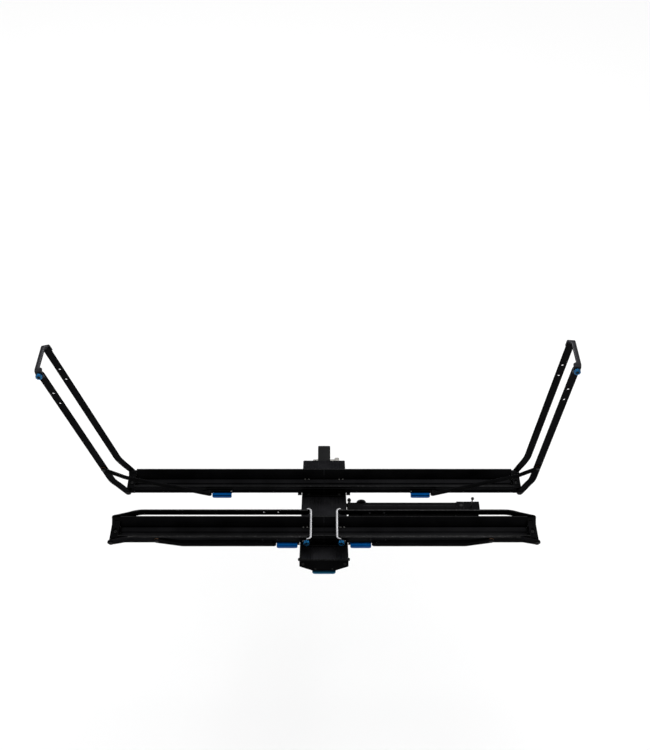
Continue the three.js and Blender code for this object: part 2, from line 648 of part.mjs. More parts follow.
const bikeRack = new THREE.Group();
buildTongue(bikeRack);
buildSpine(bikeRack);
buildYoke(bikeRack);
buildTray(bikeRack, 'inner', INNER_TRAY);
buildTray(bikeRack, 'outer', OUTER_TRAY);
buildArm(bikeRack, 'inner_left', INNER_TRAY, 1, RAISED_LEFT);
buildArm(bikeRack, 'inner_right', INNER_TRAY, -1, RAISED_RIGHT);
buildArm(bikeRack, 'outer_left', OUTER_TRAY, 1, 0);
buildArm(bikeRack, 'outer_right', OUTER_TRAY, -1, 0);
buildLockBar(bikeRack);

export default bikeRack;
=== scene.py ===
"""Looks of the hitch mounted bike rack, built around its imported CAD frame.

The rack's shapes are given in millimetres, in the frame of the whole rack or in one of these: the
inclined spine's (x across, y forward along the spine, z square to its top), a wheel arm's (origin
at its pivot, x along the folded arm, y across, z up), a brace's (origin on its lower pin's axis)
and a slider's (origin on the tray's middle line, beside that pin). They become metres when a mesh
is made.
"""

import json
import math

import bmesh
import bpy
from mathutils import Matrix, Vector


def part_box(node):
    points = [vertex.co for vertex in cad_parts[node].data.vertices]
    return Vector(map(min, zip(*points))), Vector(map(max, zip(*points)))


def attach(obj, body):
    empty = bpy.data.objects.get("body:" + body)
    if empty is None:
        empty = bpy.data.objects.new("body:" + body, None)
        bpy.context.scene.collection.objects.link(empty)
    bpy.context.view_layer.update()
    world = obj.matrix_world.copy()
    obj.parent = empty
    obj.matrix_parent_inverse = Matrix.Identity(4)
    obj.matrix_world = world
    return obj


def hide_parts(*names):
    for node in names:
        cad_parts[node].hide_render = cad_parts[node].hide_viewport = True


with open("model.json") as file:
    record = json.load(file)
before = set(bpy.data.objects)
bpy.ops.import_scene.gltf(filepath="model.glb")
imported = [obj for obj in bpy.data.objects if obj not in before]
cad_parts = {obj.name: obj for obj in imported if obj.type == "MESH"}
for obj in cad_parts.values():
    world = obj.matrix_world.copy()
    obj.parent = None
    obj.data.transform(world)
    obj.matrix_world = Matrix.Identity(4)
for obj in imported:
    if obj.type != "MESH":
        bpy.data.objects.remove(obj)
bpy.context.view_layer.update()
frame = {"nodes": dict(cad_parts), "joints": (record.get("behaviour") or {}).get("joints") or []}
joints = {joint["name"]: joint for joint in frame["joints"]}

MM = 0.001

# ---- camera, light and floor ----

# Places and sizes in this section are in metres.
CAMERA_PLACE = (0.0036, -2.648, 3.191)
CAMERA_TILT = math.radians(44.0)
CAMERA_LENS = 47.52
CAMERA_SENSOR = 36.0
CAMERA_REACH = 60.0
WORLD_STRENGTH = 0.5
SUN_STRENGTH = 1.6
SUN_ANGLE = math.radians(120.0)
FLOOR_HALF = 14.0
FLOOR_LEVEL = -0.75

# Each softbox's name, its place, the point that it faces, its two sides and its power in watts.
SOFTBOXES = (
    ("back_right", (0.98, 1.8, 3.9), (0.9, -0.3, 0.3), (1.85, 1.7), 24.0),
    ("far_left", (-3.2, 3.4, 4.2), (0.0, -0.5, 0.2), (2.0, 2.0), 30.0),
    ("front_right", (1.3, -3.0, 3.9), (0.6, -0.5, 0.3), (1.8, 1.4), 12.0),
)


def add_camera():
    data = bpy.data.cameras.new("camera")
    data.lens = CAMERA_LENS
    data.sensor_width = CAMERA_SENSOR
    data.clip_end = CAMERA_REACH
    camera = bpy.data.objects.new("camera", data)
    camera.location = CAMERA_PLACE
    camera.rotation_euler = (CAMERA_TILT, 0.0, 0.0)
    bpy.context.scene.collection.objects.link(camera)
    bpy.context.scene.camera = camera


def add_softbox(name, location, target, size, power):
    """A rectangular light that faces target."""
    data = bpy.data.lights.new(name, "AREA")
    data.shape = "RECTANGLE"
    data.size = size[0]
    data.size_y = size[1]
    data.energy = power
    light = bpy.data.objects.new(name, data)
    light.location = location
    aim = Vector(target) - Vector(location)
    light.rotation_euler = aim.to_track_quat("-Z", "Y").to_euler()
    bpy.context.scene.collection.objects.link(light)


def add_studio():
    """An even white world, the softboxes and a wide sun straight above."""
    scene = bpy.context.scene
    scene.view_settings.view_transform = "Standard"
    world = bpy.data.worlds.new("studio")
    scene.world = world
    world.use_nodes = True
    background = world.node_tree.nodes["Background"]
    background.inputs["Color"].default_value = (1.0, 1.0, 1.0, 1.0)
    background.inputs["Strength"].default_value = WORLD_STRENGTH
    for softbox in SOFTBOXES:
        add_softbox(*softbox)
    sun_data = bpy.data.lights.new("overhead", "SUN")
    sun_data.energy = SUN_STRENGTH
    sun_data.angle = SUN_ANGLE
    sun = bpy.data.objects.new("overhead", sun_data)
    scene.collection.objects.link(sun)


def add_floor():
    """A wide pale floor under the rack."""
    half = FLOOR_HALF
    mesh = bpy.data.meshes.new("floor")
    corners = [(x, y, FLOOR_LEVEL) for x, y in rectangle((-half, half), (-half, half))]
    mesh.from_pydata(corners, [], [(0, 1, 2, 3)])
    floor = bpy.data.objects.new("floor", mesh)
    material = bpy.data.materials.new("floor_paint")
    material.use_nodes = True
    shader = material.node_tree.nodes["Principled BSDF"]
    shader.inputs["Base Color"].default_value = (0.93, 0.93, 0.93, 1.0)
    shader.inputs["Roughness"].default_value = 0.9
    shader.inputs["Specular IOR Level"].default_value = 0.1
    mesh.materials.append(material)
    bpy.context.scene.collection.objects.link(floor)


# ---- finishes ----

# Scales of a finish's noise: soft blotches, rubbed patches and fine grain.
CLOUD_SCALE = 11.0
RUB_SCALE = 160.0
GRAIN_SCALE = 1500.0

# How far the streaks move a finish's roughness either way.
GLOSS_SPREAD = 0.08

# The colour sockets of a mix node.
MIX_FIRST = 6
MIX_SECOND = 7
MIX_RESULT = 2

# Scales of the streaks along x, y and z.
ALONG_X = (3.0, 700.0, 700.0)
ALONG_Y = (700.0, 3.0, 700.0)
EVEN = (260.0, 260.0, 260.0)


def add_node(tree, kind, **inputs):
    """A node whose inputs are set by name, with underscores for spaces."""
    node = tree.nodes.new(kind)
    for name, value in inputs.items():
        node.inputs[name.replace("_", " ")].default_value = value
    return node


def noise(tree, vector, scale, detail):
    node = add_node(tree, "ShaderNodeTexNoise", Scale=scale, Detail=detail)
    tree.links.new(vector, node.inputs["Vector"])
    return node.outputs["Fac"]


def remap(tree, value, low, high, to_low, to_high):
    """The value moved from one range to another."""
    node = tree.nodes.new("ShaderNodeMapRange")
    node.inputs["From Min"].default_value = low
    node.inputs["From Max"].default_value = high
    node.inputs["To Min"].default_value = to_low
    node.inputs["To Max"].default_value = to_high
    tree.links.new(value, node.inputs["Value"])
    return node.outputs["Result"]


def blend(tree, amount, first, second):
    """A mix of two colours, each given as three numbers or as a socket."""
    node = tree.nodes.new("ShaderNodeMix")
    node.data_type = "RGBA"
    tree.links.new(amount, node.inputs["Factor"])
    for socket, value in ((node.inputs[MIX_FIRST], first), (node.inputs[MIX_SECOND], second)):
        if isinstance(value, tuple):
            socket.default_value = (*value, 1.0)
        else:
            tree.links.new(value, socket)
    return node.outputs[MIX_RESULT]


def add_finish(
        name, dark, light, metallic, roughness, streak, relief, worn=None, specular=0.5, tint=1.0):
    """A finish with streaks along one direction, soft blotches and a fine grain.

    streak is the scale of the streaks along x, y and z, relief the heights of the streaks and the
    grain in metres, worn the colour of the rubbed patches.
    """
    material = bpy.data.materials.new(name)
    material.use_nodes = True
    tree = material.node_tree
    shader = tree.nodes["Principled BSDF"]
    shader.inputs["Metallic"].default_value = metallic
    shader.inputs["Specular IOR Level"].default_value = specular
    shader.inputs["Specular Tint"].default_value = (tint, tint, tint, 1.0)
    place = tree.nodes.new("ShaderNodeTexCoord").outputs["Object"]
    stretch = add_node(tree, "ShaderNodeMapping", Scale=streak)
    tree.links.new(place, stretch.inputs["Vector"])
    lines = noise(tree, stretch.outputs["Vector"], 1.0, 3.0)
    clouds = noise(tree, place, CLOUD_SCALE, 4.0)
    grain = noise(tree, place, GRAIN_SCALE, 2.0)

    shade = remap(tree, clouds, 0.35, 0.65, 0.0, 1.0)
    colour = blend(tree, shade, dark, light)
    if worn:
        rubbed = remap(tree, noise(tree, place, RUB_SCALE, 6.0), 0.5, 0.68, 0.0, 1.0)
        colour = blend(tree, rubbed, colour, worn)
    tree.links.new(colour, shader.inputs["Base Color"])

    gloss = remap(tree, lines, 0.25, 0.75, roughness - GLOSS_SPREAD, roughness + GLOSS_SPREAD)
    uneven = tree.nodes.new("ShaderNodeMath")
    uneven.operation = "ADD"
    tree.links.new(gloss, uneven.inputs[0])
    tree.links.new(remap(tree, clouds, 0.3, 0.7, -0.04, 0.05), uneven.inputs[1])
    tree.links.new(uneven.outputs[0], shader.inputs["Roughness"])

    drawn = add_node(tree, "ShaderNodeBump", Strength=1.0, Distance=relief[0])
    tree.links.new(lines, drawn.inputs["Height"])
    cast = add_node(tree, "ShaderNodeBump", Strength=1.0, Distance=relief[1])
    tree.links.new(grain, cast.inputs["Height"])
    tree.links.new(drawn.outputs["Normal"], cast.inputs["Normal"])
    tree.links.new(cast.outputs["Normal"], shader.inputs["Normal"])
    return material


def anodised(name, streak, dark, light, rim, wear=3.0):
    """A black anodised finish and a lighter one for its edges, whose colour paints a highlight there
    along with rubbed patches of wear.
    """
    body = add_finish(
        name, (dark, dark, dark * 1.1), (light, light, light * 1.1), 0.92, 0.3, streak,
        (0.00010, 0.00002), specular=0.2, tint=0.35)
    edge = add_finish(
        name + "_edge", (rim, rim, rim * 1.05), (rim * 1.7, rim * 1.7, rim * 1.75), 0.95, 0.28, streak,
        (0.00006, 0.00002), worn=(rim * wear, rim * wear, rim * wear))
    return body, edge


def build_finishes():
    """Each finish as a pair of materials: one for the faces and a lighter one for the edges and upward
    faces, a painted highlight with rubbed wear.
    """
    steel = add_finish(
        "powder_coat", (0.003, 0.003, 0.0032), (0.006, 0.006, 0.0064), 0.6, 0.44, EVEN,
        (0.00012, 0.00004), specular=0.2)
    steel_edge_highlight = add_finish(
        "powder_coat_edge_highlight", (0.01, 0.01, 0.01), (0.018, 0.018, 0.018), 0.6, 0.4, EVEN,
        (0.0001, 0.00003), worn=(0.1, 0.095, 0.09), specular=0.3)
    blue = add_finish(
        "blue_anodised", (0.0004, 0.034, 0.13), (0.0008, 0.055, 0.21), 1.0, 0.27, ALONG_X,
        (0.00006, 0.00002))
    blue_edge_highlight = add_finish(
        "blue_anodised_edge_highlight", (0.002, 0.11, 0.36), (0.004, 0.16, 0.5), 1.0, 0.24, ALONG_X,
        (0.00004, 0.00002), worn=(0.05, 0.28, 0.6))
    knob = add_finish(
        "knob_anodised", (0.002, 0.05, 0.13), (0.004, 0.085, 0.21), 0.9, 0.27, EVEN, (0.00005, 0.00002))
    knob_edge_highlight = add_finish(
        "knob_anodised_edge_highlight", (0.01, 0.17, 0.4), (0.02, 0.24, 0.52), 0.95, 0.24, EVEN, (0.00004, 0.00002),
        worn=(0.1, 0.36, 0.62))
    teal = add_finish(
        "teal_anodised", (0.005, 0.075, 0.15), (0.008, 0.11, 0.2), 0.8, 0.34, ALONG_X,
        (0.00006, 0.00002))
    teal_edge_highlight = add_finish(
        "teal_anodised_edge_highlight", (0.01, 0.14, 0.25), (0.014, 0.18, 0.32), 0.85, 0.3, ALONG_X,
        (0.00005, 0.00002), worn=(0.1, 0.3, 0.42))
    zinc = add_finish(
        "zinc_plate", (0.22, 0.215, 0.205), (0.34, 0.33, 0.31), 1.0, 0.36, EVEN, (0.00005, 0.00002))
    zinc_edge_highlight = add_finish(
        "zinc_plate_edge_highlight", (0.4, 0.39, 0.37), (0.5, 0.49, 0.47), 1.0, 0.3, EVEN, (0.00004, 0.00002))
    plastic = add_finish(
        "moulded_plastic", (0.004, 0.004, 0.004), (0.007, 0.007, 0.007), 0.3, 0.55, EVEN,
        (0.0002, 0.00006), specular=0.25)
    bronze = add_finish(
        "bronze", (0.2, 0.11, 0.07), (0.33, 0.19, 0.12), 1.0, 0.35, EVEN, (0.00004, 0.00002))
    black_oxide = add_finish(
        "black_oxide", (0.006, 0.006, 0.006), (0.012, 0.012, 0.012), 0.8, 0.36, EVEN,
        (0.00005, 0.00003), specular=0.3)
    worn_steel = add_finish(
        "worn_steel", (0.07, 0.068, 0.065), (0.13, 0.125, 0.12), 1.0, 0.38, EVEN, (0.00005, 0.00002))
    return {
        # These anodised finishes are one black anodising at different brightness: the spine's lighter
        # colour is a painted sheen, the hoop's a painted reflection, and the darker casting and brace
        # finishes a painted shade on the parts that face the camera.
        "extrusion_x": anodised("anodised_along_x", ALONG_X, 0.0028, 0.0048, 0.004),
        "spine_extrusion_painted_sheen": anodised("anodised_along_y_painted_sheen", ALONG_Y, 0.022, 0.032, 0.03),
        "casting_painted_shade": anodised("anodised_end_block_painted_shade", EVEN, 0.0014, 0.0026, 0.01),
        "brace": anodised("anodised_brace_painted_shade", ALONG_X, 0.0016, 0.003, 0.01),
        "arm": anodised("anodised_flat_bar", ALONG_X, 0.0036, 0.0065, 0.0055, 6.0),
        "hoop": anodised("anodised_hoop_painted_reflection", EVEN, 0.02, 0.035, 0.2, 1.6),
        "steel": (steel, steel_edge_highlight),
        "knob": (knob, knob_edge_highlight),
        "blue": (blue, blue_edge_highlight),
        "teal": (teal, teal_edge_highlight),
        "zinc": (zinc, zinc_edge_highlight),
        "plastic": (plastic, plastic),
        "bronze": (bronze, bronze),
        "screw": (black_oxide, black_oxide),
        "worn_steel": (worn_steel, worn_steel),
    }


finishes = build_finishes()

# ---- shells: lists of corner points and faces, in millimetres ----


def loft(rings):
    """One closed shell through rings of equally many points, closed flat at both ends."""
    count = len(rings[0])
    points = [point for ring in rings for point in ring]
    faces = []
    for ring in range(len(rings) - 1):
        for k in range(count):
            a = ring * count + k
            b = ring * count + (k + 1) % count
            faces.append((a, b, b + count, a + count))
    last = (len(rings) - 1) * count
    faces.append(tuple(range(count)))
    faces.append(tuple(range(last, last + count)))
    return points, faces


def rounded(points, radius, steps=3):
    """The closed outline through 2-D points, with each corner rounded."""
    radii = radius if isinstance(radius, (list, tuple)) else [radius] * len(points)
    result = []
    for index, corner in enumerate(points):
        here = Vector(corner)
        before = Vector(points[index - 1]) - here
        after = Vector(points[(index + 1) % len(points)]) - here
        angle = before.angle(after)
        if radii[index] <= 0 or angle > math.radians(176):
            result.append(here)
            continue
        reach = min(radii[index] / math.tan(angle / 2), 0.46 * before.length, 0.46 * after.length)
        start = here + before.normalized() * reach
        end = here + after.normalized() * reach
        for k in range(steps + 1):
            t = k / steps
            result.append(start * (1 - t) ** 2 + here * (2 * t * (1 - t)) + end * t ** 2)
    return result


def prism(outline, low, high, axes):
    """A closed outline pushed along an axis. axes names the outline's two directions and the push."""
    first, second, push = ("xyz".index(letter) for letter in axes)
    rings = []
    for level in (low, high):
        ring = []
        for a, b in outline:
            point = Vector((0.0, 0.0, 0.0))
            point[first] = a
            point[second] = b
            point[push] = level
            ring.append(point)
        rings.append(ring)
    return loft(rings)


def rectangle(a, b):
    """A rectangle's corners between limits a and b along its two directions."""
    return [(a[0], b[0]), (a[1], b[0]), (a[1], b[1]), (a[0], b[1])]


def block(x, y, z, radius=0.0, axes="xyz"):
    """A rectangular bar between the given limits, with rounded edges along its push axis."""
    limits = {"x": x, "y": y, "z": z}
    outline = rounded(rectangle(limits[axes[0]], limits[axes[1]]), radius)
    return prism(outline, *limits[axes[2]], axes)


def ring_factor(kind, turn):
    """How far out a ring of the given kind lies at an angle, as a share of its radius."""
    if kind == "hex":
        return 1 / math.cos((turn + math.pi / 6) % (math.pi / 3) - math.pi / 6)
    if kind == "lobed":
        lobes = 8
        return 1 + 0.085 * math.cos(lobes * turn)
    if kind == "knurled":
        ridges = 18
        return 1 + 0.05 * math.cos(ridges * turn)
    return 1.0


def turned(profile, axis, centre, steps=48):
    """A shape turned about an axis through centre. profile holds a radius, a height along the axis and
    sometimes the ring's kind."""
    push = "xyz".index(axis)
    first = (push + 1) % 3
    second = (push + 2) % 3
    rings = []
    for radius, height, *kind in profile:
        ring = []
        for k in range(steps):
            turn = math.tau * k / steps
            reach = radius * ring_factor(kind[0] if kind else "round", turn)
            point = Vector(centre)
            point[first] += reach * math.cos(turn)
            point[second] += reach * math.sin(turn)
            point[push] += height
            ring.append(point)
        rings.append(ring)
    return loft(rings)


def rod(axis, radius, low, high, centre, steps=32):
    """A round bar between two heights along the axis, with small chamfers."""
    rim = min(0.6, radius * 0.2)
    profile = [(radius - rim, low), (radius, low + rim), (radius, high - rim), (radius - rim, high)]
    place = Vector(centre)
    place["xyz".index(axis)] = 0.0
    return turned(profile, axis, place, steps)


def plain_rod(axis, radius, low, high, centre, steps=32):
    """A round bar with sharp rims."""
    place = Vector(centre)
    place["xyz".index(axis)] = 0.0
    return turned([(radius, low), (radius, high)], axis, place, steps)


def bolt(axis, sign, radius, height, centre):
    """A round bolt head with a hexagonal socket, standing on centre towards sign."""
    socket = radius * 0.46
    profile = [
        (radius, 0.0), (radius, height * 0.7), (radius * 0.86, height), (socket * 1.15, height),
        (socket, height * 0.94, "hex"), (socket * 0.96, height * 0.35, "hex"),
    ]
    return turned([(r, sign * h, *kind) for r, h, *kind in profile], axis, centre, 36)


def dome(axis, sign, radius, height, centre):
    """A low round cap, standing on centre towards sign."""
    profile = []
    for k in range(6):
        turn = math.radians(86) * k / 5
        profile.append((radius * math.cos(turn), sign * height * math.sin(turn)))
    return turned(profile, axis, centre, 28)


def tube_along(points, radius, steps=10):
    """A round wire through points, with closed ends."""
    rings = []
    side = None
    for index, here in enumerate(points):
        before = points[max(index - 1, 0)]
        after = points[min(index + 1, len(points) - 1)]
        along = (after - before).normalized()
        if side is None:
            side = along.orthogonal().normalized()
        side = (side - along * side.dot(along)).normalized()
        other = along.cross(side)
        turns = [math.tau * k / steps for k in range(steps)]
        rings.append([here + (side * math.cos(turn) + other * math.sin(turn)) * radius for turn in turns])
    return loft(rings)


# ---- pieces ----

# Corners of a piece, or of a copied CAD node, that are nearer than these become one. In metres.
WELD_GAP = 0.000004
NODE_WELD_GAP = 0.00001

# Edges flatter than the first angle are dissolved. Edges sharper than the second are rounded.
FLAT_ANGLE = math.radians(0.6)
EDGE_ANGLE = math.radians(28.0)


def shells_to_mesh(name, shells):
    """One mesh, in metres, of shells that are given in millimetres."""
    mesh = bpy.data.meshes.new(name)
    form = bmesh.new()
    for points, faces in shells:
        corners = [form.verts.new(Vector(point) * MM) for point in points]
        for face in faces:
            form.faces.new([corners[k] for k in face])
    bmesh.ops.recalc_face_normals(form, faces=form.faces)
    form.to_mesh(mesh)
    form.free()
    return mesh


def settle(piece):
    """Writes a piece's modifiers into its mesh."""
    graph = bpy.context.evaluated_depsgraph_get()
    mesh = bpy.data.meshes.new_from_object(piece.evaluated_get(graph), depsgraph=graph)
    piece.modifiers.clear()
    piece.data = mesh


def combine(piece, shells, operation):
    """Joins shells to a piece or cuts them from it, in the piece's own frame."""
    for shell in shells:
        tool = bpy.data.objects.new("tool", shells_to_mesh("tool", [shell]))
        bpy.context.scene.collection.objects.link(tool)
        tool.matrix_world = piece.matrix_world
        modifier = piece.modifiers.new(operation, "BOOLEAN")
        modifier.operation = operation
        modifier.solver = "EXACT"
        modifier.object = tool
        bpy.context.view_layer.update()
        settle(piece)
        bpy.data.objects.remove(tool)


def dress(piece, finish, bevel, body, nodes, segments=2):
    """Rounds a piece's edges, gives it its finish and lets it ride on its body."""
    mesh = piece.data
    form = bmesh.new()
    form.from_mesh(mesh)
    bmesh.ops.remove_doubles(form, verts=form.verts, dist=WELD_GAP)
    bmesh.ops.dissolve_limit(form, angle_limit=FLAT_ANGLE, verts=form.verts, edges=form.edges)
    form.to_mesh(mesh)
    form.free()
    mesh.materials.clear()
    for material in finishes[finish]:
        mesh.materials.append(material)
    for face in mesh.polygons:
        face.material_index = 0
        face.use_smooth = True
    mesh.set_sharp_from_angle(angle=EDGE_ANGLE)
    if bevel:
        modifier = piece.modifiers.new("edges", "BEVEL")
        modifier.width = bevel * MM
        modifier.segments = segments
        modifier.limit_method = "ANGLE"
        modifier.angle_limit = EDGE_ANGLE
        modifier.harden_normals = True
        modifier.use_clamp_overlap = True
        # The bevel faces take the second, lighter material: a painted edge highlight with rubbed wear.
        modifier.material = 1
        bpy.context.view_layer.update()
        settle(piece)
    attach(piece, body)
    if nodes:
        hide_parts(*nodes)
    return piece


def paint_highlight_and_wear(piece, is_highlit):
    """Gives some faces the lighter finish of the edges, which paints a highlight on them along with
    rubbed wear. The test passed in picks them by centre, in millimetres, and normal."""
    for face in piece.data.polygons:
        if is_highlit(face.center / MM, face.normal):
            face.material_index = 1


def add_piece(
        name, shells, finish, body, nodes=(), place=None, bevel=0.0, joins=(), cuts=(), segments=2):
    """A piece of shells, with others joined to it and cut from it. It replaces the CAD nodes given."""
    piece = bpy.data.objects.new(name, shells_to_mesh(name, shells))
    bpy.context.scene.collection.objects.link(piece)
    if place is not None:
        piece.matrix_world = place
    combine(piece, joins, "UNION")
    combine(piece, cuts, "DIFFERENCE")
    return dress(piece, finish, bevel, body, nodes, segments)


def refine_node(node, finish, body, bevel):
    """A copy of a CAD node with rounded edges, which stands for it."""
    piece = bpy.data.objects.new(node + "_shape", frame["nodes"][node].data.copy())
    bpy.context.scene.collection.objects.link(piece)
    form = bmesh.new()
    form.from_mesh(piece.data)
    bmesh.ops.remove_doubles(form, verts=form.verts, dist=NODE_WELD_GAP)
    form.to_mesh(piece.data)
    form.free()
    return dress(piece, finish, bevel, body, [node])


# ---- places from the record ----

# The handle's pin in the spine's frame, forward and up.
HANDLE_PIN = (-452.0, -9.6)

# The knob's place on a wheel arm: distance from the pivot, and height above the pivot's line.
KNOB_U = 664.5
ARM_RISE = 25.0


def record_point(joint_name):
    """Where a joint stands at rest, in millimetres."""
    return Vector(joints[joint_name]["pos_m"]) / MM


def spine_place():
    """The spine's frame: origin under the inner tray, on the spine's top face."""
    rearward = Vector(joints["latch_slide"]["axis"])
    forward = -rearward
    up = Vector((1.0, 0.0, 0.0)).cross(forward)
    pin = record_point("handle_squeeze")
    origin = pin - forward * HANDLE_PIN[0] - up * HANDLE_PIN[1]
    turn = Matrix((Vector((1.0, 0.0, 0.0)), forward, up)).transposed().to_4x4()
    return Matrix.Translation(origin * MM) @ turn


def arm_place(tray, word, side):
    """A wheel arm's frame, turned as the arm stands at rest."""
    hinge = record_point(f"{tray}_{word}_" + ("fold" if tray == "inner" else "raise"))
    knob = record_point(f"{tray}_{word}_knob_turn")
    reach = knob - hinge
    raised = math.atan2(reach.z, side * reach.x) - math.atan2(ARM_RISE, KNOB_U)
    return Matrix.Translation(hinge * MM) @ Matrix.Rotation(-side * raised, 4, "Y")


SPINE = spine_place()
SLOPE = math.asin(joints["latch_slide"]["axis"][2])
TRAYS = {"inner": record_point("inner_left_fold"), "outer": record_point("outer_left_raise")}

# How far a cutting shape passes the surface that it opens.
PAST = 1.0

# ---- spine ----

SPINE_HALF = 82.0
SPINE_REAR = -464.0
SPINE_FRONT = 207.0
SPINE_SIDE = 27.0
SPINE_DEPTH = 43.0
SPINE_FLOOR = 39.0
SPINE_WALL = 4.0
SPINE_ROUND = 4.0
SIDE_GROOVES = (-12.0, -20.0)
NOTCH_HALF = 41.0
NOTCH_LENGTH = 56.0
PLATE_GAP = 0.3
PLATE_THICKNESS = 4.0
PIN_RADIUS = 3.0
PIN_BORE = 3.3


def spine_section(inset, radius):
    """The spine's outline, moved inwards by inset: a box with lower sides that slope to the floor."""
    half = SPINE_HALF - inset
    floor = SPINE_FLOOR - inset * 0.4
    low = -SPINE_SIDE + inset * 0.2
    points = [
        (-half, -inset), (-half, low), (-floor, -SPINE_DEPTH + inset), (floor, -SPINE_DEPTH + inset),
        (half, low), (half, -inset),
    ]
    return rounded(points, radius, 4)


def build_spine_beam():
    pin_y, pin_z = HANDLE_PIN
    rear = SPINE_REAR - PAST
    front = SPINE_FRONT + PAST
    shell = prism(spine_section(0.0, SPINE_ROUND), SPINE_REAR, SPINE_FRONT, "xzy")
    hollow = prism(spine_section(SPINE_WALL, 1.5), rear, front, "xzy")
    notch = block(
        (-NOTCH_HALF, NOTCH_HALF), (rear, SPINE_REAR + NOTCH_LENGTH),
        (-SPINE_DEPTH - PAST, -SPINE_DEPTH + SPINE_WALL + PAST))
    pin_hole = plain_rod("x", PIN_BORE, -SPINE_HALF - PAST, SPINE_HALF + PAST, (0, pin_y, pin_z), 20)
    grooves = []
    for side in (-1, 1):
        wall = side * SPINE_HALF
        for level in SIDE_GROOVES:
            grooves.append(block((wall - 0.8, wall + 0.8), (rear, front), (level - 0.9, level + 0.9)))
    add_piece(
        "spine_beam", [shell], "spine_extrusion_painted_sheen", "rack", ["spine"], SPINE, bevel=0.5,
        cuts=[hollow, notch, pin_hole, *grooves])


def build_rear_plate():
    front = SPINE_REAR - PLATE_GAP
    rear = front - PLATE_THICKNESS
    plate = prism(spine_section(0.0, SPINE_ROUND), rear, front, "xzy")
    add_piece("rear_plate", [plate], "casting_painted_shade", "rack", ["end_plate"], SPINE, bevel=0.9, segments=3)
    screws = []
    for side in (-1, 1):
        screws.append(bolt("y", -1, 4.6, 2.4, (side * 69.6, rear, -16)))
        screws.append(bolt("y", -1, 3.4, 1.6, (side * 28.0, rear, -36)))
    add_piece("rear_plate_screws", screws, "screw", "rack", (), SPINE)


def build_handle_pin():
    centre = (0, *HANDLE_PIN)
    pin = rod("x", PIN_RADIUS, -SPINE_HALF - 2.5, SPINE_HALF + 2.5, centre, 24)
    profile = [(5.2, 0.1), (5.4, 1.4), (4.4, 4.2), (2.4, 5.0)]
    heads = [
        turned([(radius, side * (SPINE_HALF + height)) for radius, height in profile], "x", centre, 24)
        for side in (-1, 1)
    ]
    add_piece("handle_pin_rod", [pin, *heads], "screw", "rack", ["handle_pin"], SPINE)


def build_handle():
    """The paddle under the spine's rear end, its web and the barrel round its pin."""
    pin_y, pin_z = HANDLE_PIN
    centre = (0, pin_y, pin_z)
    lip = SPINE_REAR - 12
    half = 39.5
    top = -SPINE_DEPTH - 3
    thickness = 5.0
    barrel_half = 30.0
    outline = rounded(
        [(-half, SPINE_REAR + 24), (-half, lip), (half, lip), (half, SPINE_REAR + 24)],
        [4.0, 12.0, 12.0, 4.0], 6)
    paddle = prism(outline, top - thickness, top, "xyz")
    web = block((-barrel_half, barrel_half), (pin_y - 4, pin_y + 4), (top - 2, pin_z))
    barrel = plain_rod("x", 5.2, -barrel_half, barrel_half, centre, 32)
    bore = plain_rod("x", PIN_BORE, -barrel_half - PAST, barrel_half + PAST, centre, 24)
    grips = [
        plain_rod("x", 1.6, -24, 24, (0, lip + 6 + 5 * k, top - thickness - 0.6), 12)
        for k in range(4)
    ]
    add_piece(
        "squeeze_handle", [paddle], "teal", "handle", ["tilt_handle"], SPINE, bevel=1.1, segments=3,
        joins=[web, barrel], cuts=[bore, *grips])


def build_side_plunger():
    """A spring plunger beside the spine: knurled knob, collars and a hexagonal nut on one stem."""
    x = SPINE_HALF + 11
    level = -18
    stem = 3.5
    profile = [
        (2.4, -122), (stem, -121), (stem, -119.4),
        (8.2, -119), (9.0, -118, "knurled"), (9.0, -106, "knurled"), (8.2, -105),
        (stem, -104.4), (stem, -87.2),
        (5.6, -87), (6.0, -86), (6.0, -80), (5.6, -79),
        (stem, -78.8), (stem, -66.2),
        (5.9, -66, "hex"), (5.9, -56, "hex"),
        (stem, -55.8), (stem, -53), (2.6, -52),
    ]
    lug = block((SPINE_HALF + 0.3, x), (-100, -92), (level - 6, level + 6), 1.2, "yzx")
    add_piece(
        "spring_plunger", [turned(profile, "y", (x, 0, level), 72)], "steel", "rack", ["side_plunger"],
        SPINE, joins=[lug])


# ---- trays ----

TRAY_HALF = 42.0
TRAY_TOP = 22.0
TRAY_BOTTOM = -16.0
TRAY_FLOOR = -10.0
TRAY_SEAM = 0.6
TRAY_END = 700.0
CAP_START = 700.3
CAP_NEAR_X = 720.0
CAP_FAR_X = 731.0
CAP_MIDDLE = 711.5
CAP_TOP = 14.0
PIVOT_X = 723.0
AXLE_RADIUS = 5.0
AXLE_BORE = 5.3


